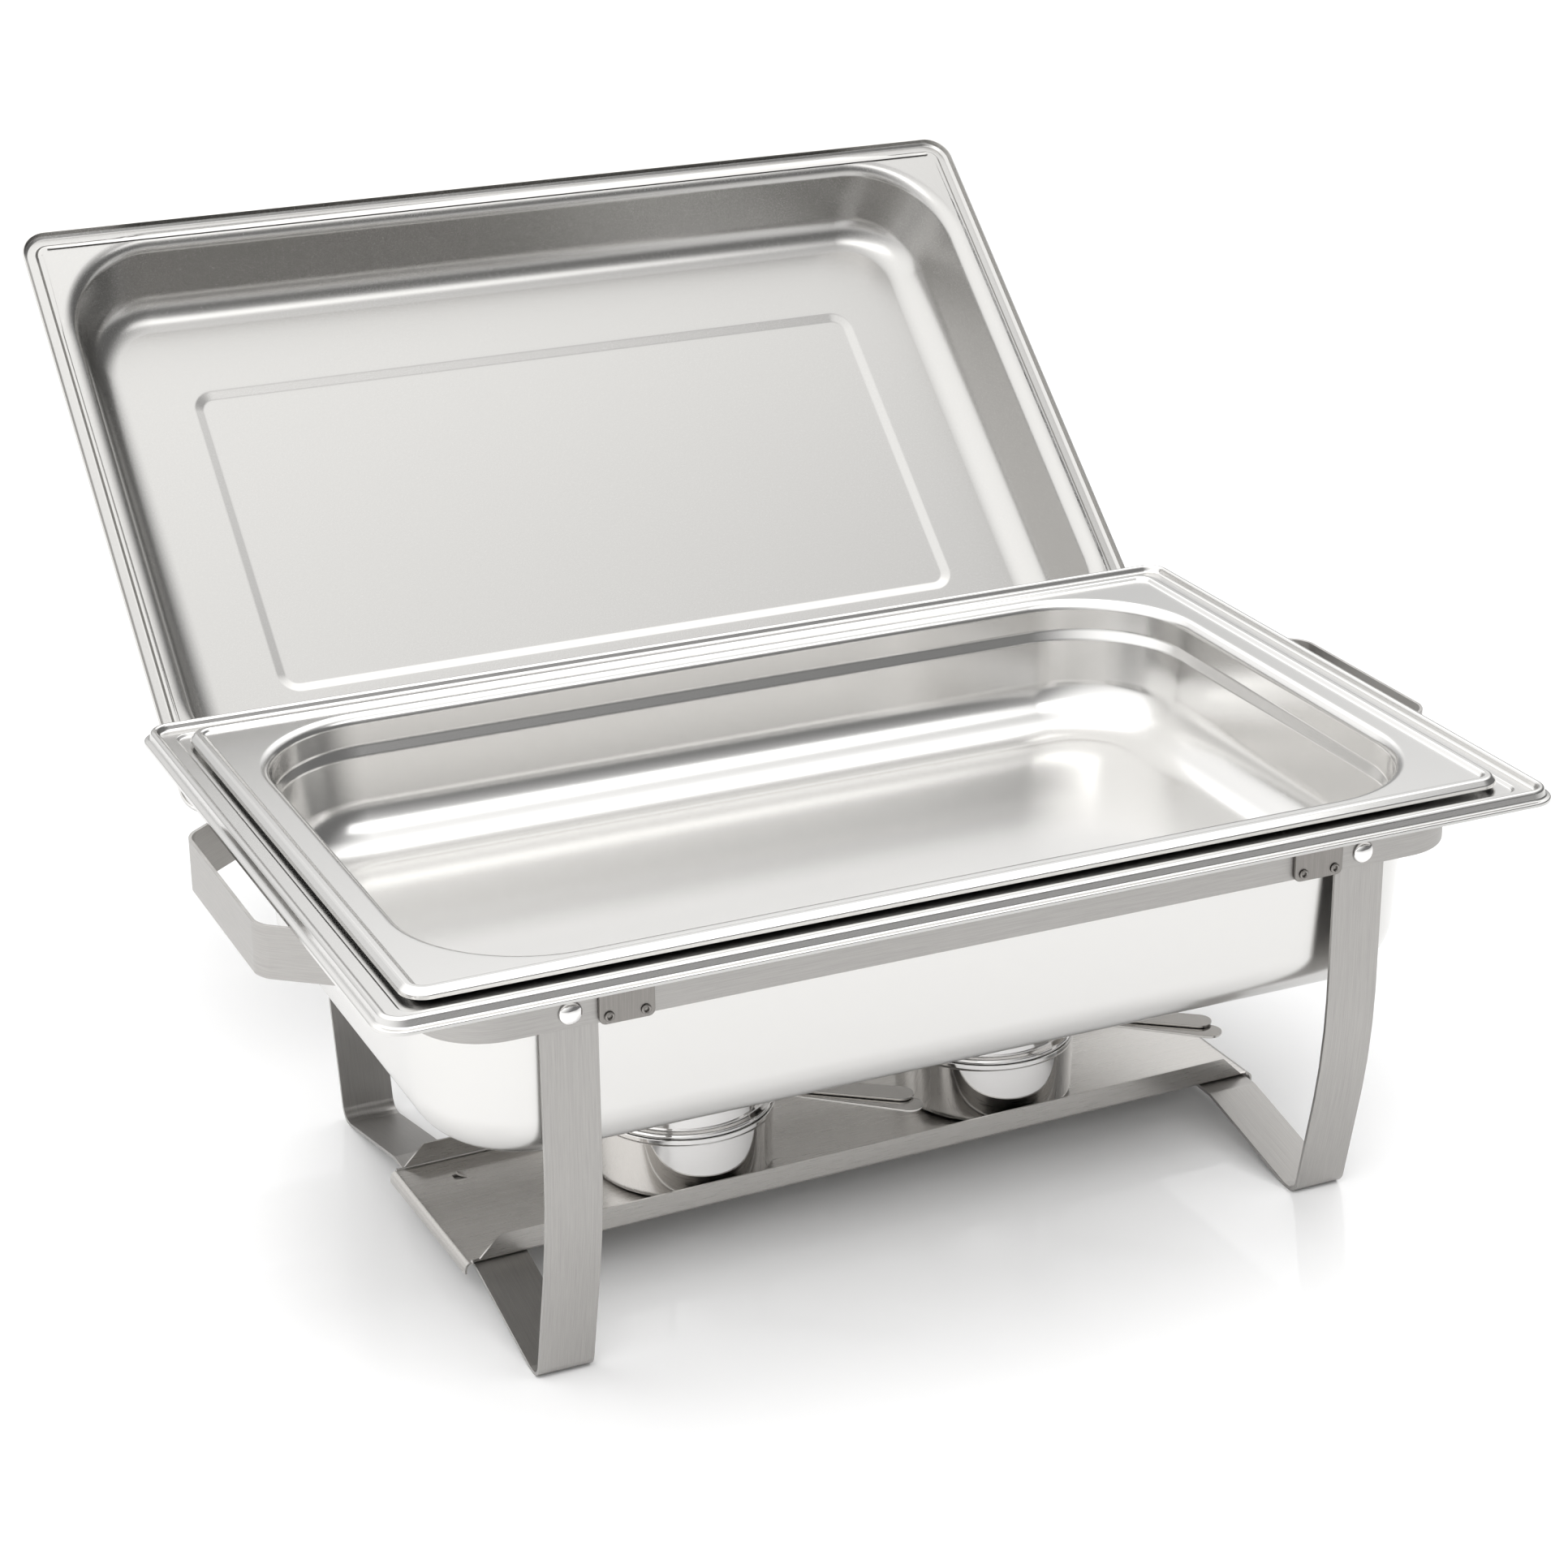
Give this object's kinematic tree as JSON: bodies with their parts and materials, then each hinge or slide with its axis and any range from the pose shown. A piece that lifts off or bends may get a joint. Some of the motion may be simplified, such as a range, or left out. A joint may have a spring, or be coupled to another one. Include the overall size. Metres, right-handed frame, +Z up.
{
  "type": "chafing dish",
  "caption": "Chafing dish food warmer: a folding strap frame holds a water pan and a food pan over covered fuel cups on a shelf, with its lid propped open behind.",
  "frame": {"origin": "middle of the footprint of the dish and its open lid, on the surface that the feet stand on", "axes": "+X along the length of the dish, +Y to its back, where the lid stands, +Z up"},
  "size_m": [0.6152, 0.7036, 0.372],
  "materials": {
    "pan_steel": "satin stainless steel sheet",
    "strap_steel": "stainless strap, brushed along its length",
    "plate_steel": "stainless plate, brushed upright",
    "shelf_steel": "brushed stainless sheet",
    "cup_steel": "polished stainless steel",
    "rivet_steel": "polished rivet"
  },
  "bodies": {
    "frame": {"side_rail_front": "strap_steel", "joint_plate_front_left": "plate_steel", "pivot_rivet_front_left": "rivet_steel", "plate_rivet_front_left_1": "rivet_steel", "plate_rivet_front_left_2": "rivet_steel", "plate_rivet_front_left_3": "rivet_steel", "plate_rivet_front_left_4": "rivet_steel", "joint_plate_front_right": "plate_steel", "pivot_rivet_front_right": "rivet_steel", "plate_rivet_front_right_1": "rivet_steel", "plate_rivet_front_right_2": "rivet_steel", "plate_rivet_front_right_3": "rivet_steel", "plate_rivet_front_right_4": "rivet_steel", "side_rail_rear": "strap_steel", "joint_plate_rear_left": "plate_steel", "pivot_rivet_rear_left": "rivet_steel", "plate_rivet_rear_left_1": "rivet_steel", "plate_rivet_rear_left_2": "rivet_steel", "plate_rivet_rear_left_3": "rivet_steel", "plate_rivet_rear_left_4": "rivet_steel", "joint_plate_rear_right": "plate_steel", "pivot_rivet_rear_right": "rivet_steel", "plate_rivet_rear_right_1": "rivet_steel", "plate_rivet_rear_right_2": "rivet_steel", "plate_rivet_rear_right_3": "rivet_steel", "plate_rivet_rear_right_4": "rivet_steel", "handle_band_left": "strap_steel", "handle_band_right": "strap_steel"},
    "legs_left": {"leg_band_left": "strap_steel"},
    "legs_right": {"leg_band_right": "strap_steel"},
    "shelf": {"fuel_shelf": "shelf_steel"},
    "water_pan": {"water_pan": "pan_steel"},
    "food_pan": {"food_pan": "pan_steel"},
    "lid": {"lid": "pan_steel"},
    "cup_left": {"fuel_cup_left": "cup_steel"},
    "cover_left": {"fuel_cover_left": "cup_steel", "damper_rivet_left": "rivet_steel"},
    "damper_left": {"damper_left": "cup_steel"},
    "cup_right": {"fuel_cup_right": "cup_steel"},
    "cover_right": {"fuel_cover_right": "cup_steel", "damper_rivet_right": "rivet_steel"},
    "damper_right": {"damper_right": "cup_steel"}
  },
  "joints": [
    {"name": "leg_fold_left", "type": "hinge", "parent": "frame", "child": "legs_left", "pos_m": [-0.20514, -0.16983, 0.184], "axis": [0, -1, 0], "range_deg": [0, 90]},
    {"name": "leg_fold_right", "type": "hinge", "parent": "frame", "child": "legs_right", "pos_m": [0.18086, -0.16983, 0.184], "axis": [0, 1, 0], "range_deg": [0, 90]},
    {"name": "shelf_lift", "type": "slide", "parent": "frame", "child": "shelf", "axis": [0, 0, 1], "range_m": [0, 0.19]},
    {"name": "water_pan_lift", "type": "slide", "parent": "frame", "child": "water_pan", "axis": [0, 0, 1], "range_m": [0, 0.19]},
    {"name": "food_pan_lift", "type": "slide", "parent": "water_pan", "child": "food_pan", "axis": [0, 0, 1], "range_m": [0, 0.09]},
    {"name": "lid_lift", "type": "slide", "parent": "frame", "child": "lid", "axis": [0, 0, 1], "range_m": [0, 0.15]},
    {"name": "cup_lift_left", "type": "slide", "parent": "shelf", "child": "cup_left", "axis": [0, 0, 1], "range_m": [0, 0.022]},
    {"name": "cover_lift_left", "type": "slide", "parent": "cup_left", "child": "cover_left", "axis": [0, 0, 1], "range_m": [0, 0.016]},
    {"name": "damper_swing_left", "type": "hinge", "parent": "cover_left", "child": "damper_left", "pos_m": [-0.07144, -0.19789, 0.0643], "axis": [0, 0, 1], "range_deg": [-6, 60]},
    {"name": "cup_lift_right", "type": "slide", "parent": "shelf", "child": "cup_right", "axis": [0, 0, 1], "range_m": [0, 0.022]},
    {"name": "cover_lift_right", "type": "slide", "parent": "cup_right", "child": "cover_right", "axis": [0, 0, 1], "range_m": [0, 0.016]},
    {"name": "damper_swing_right", "type": "hinge", "parent": "cover_right", "child": "damper_right", "pos_m": [0.09306, -0.19188, 0.0643], "axis": [0, 0, 1], "range_deg": [-6, 60]}
  ],
  "couplings": [
    {"joint": "leg_fold_right", "follows": "leg_fold_left", "ratio": 1},
    {"joint": "shelf_lift", "follows": "leg_fold_left", "m_per_rad": 0.12},
    {"joint": "water_pan_lift", "follows": "leg_fold_left", "m_per_rad": 0.12}
  ]
}
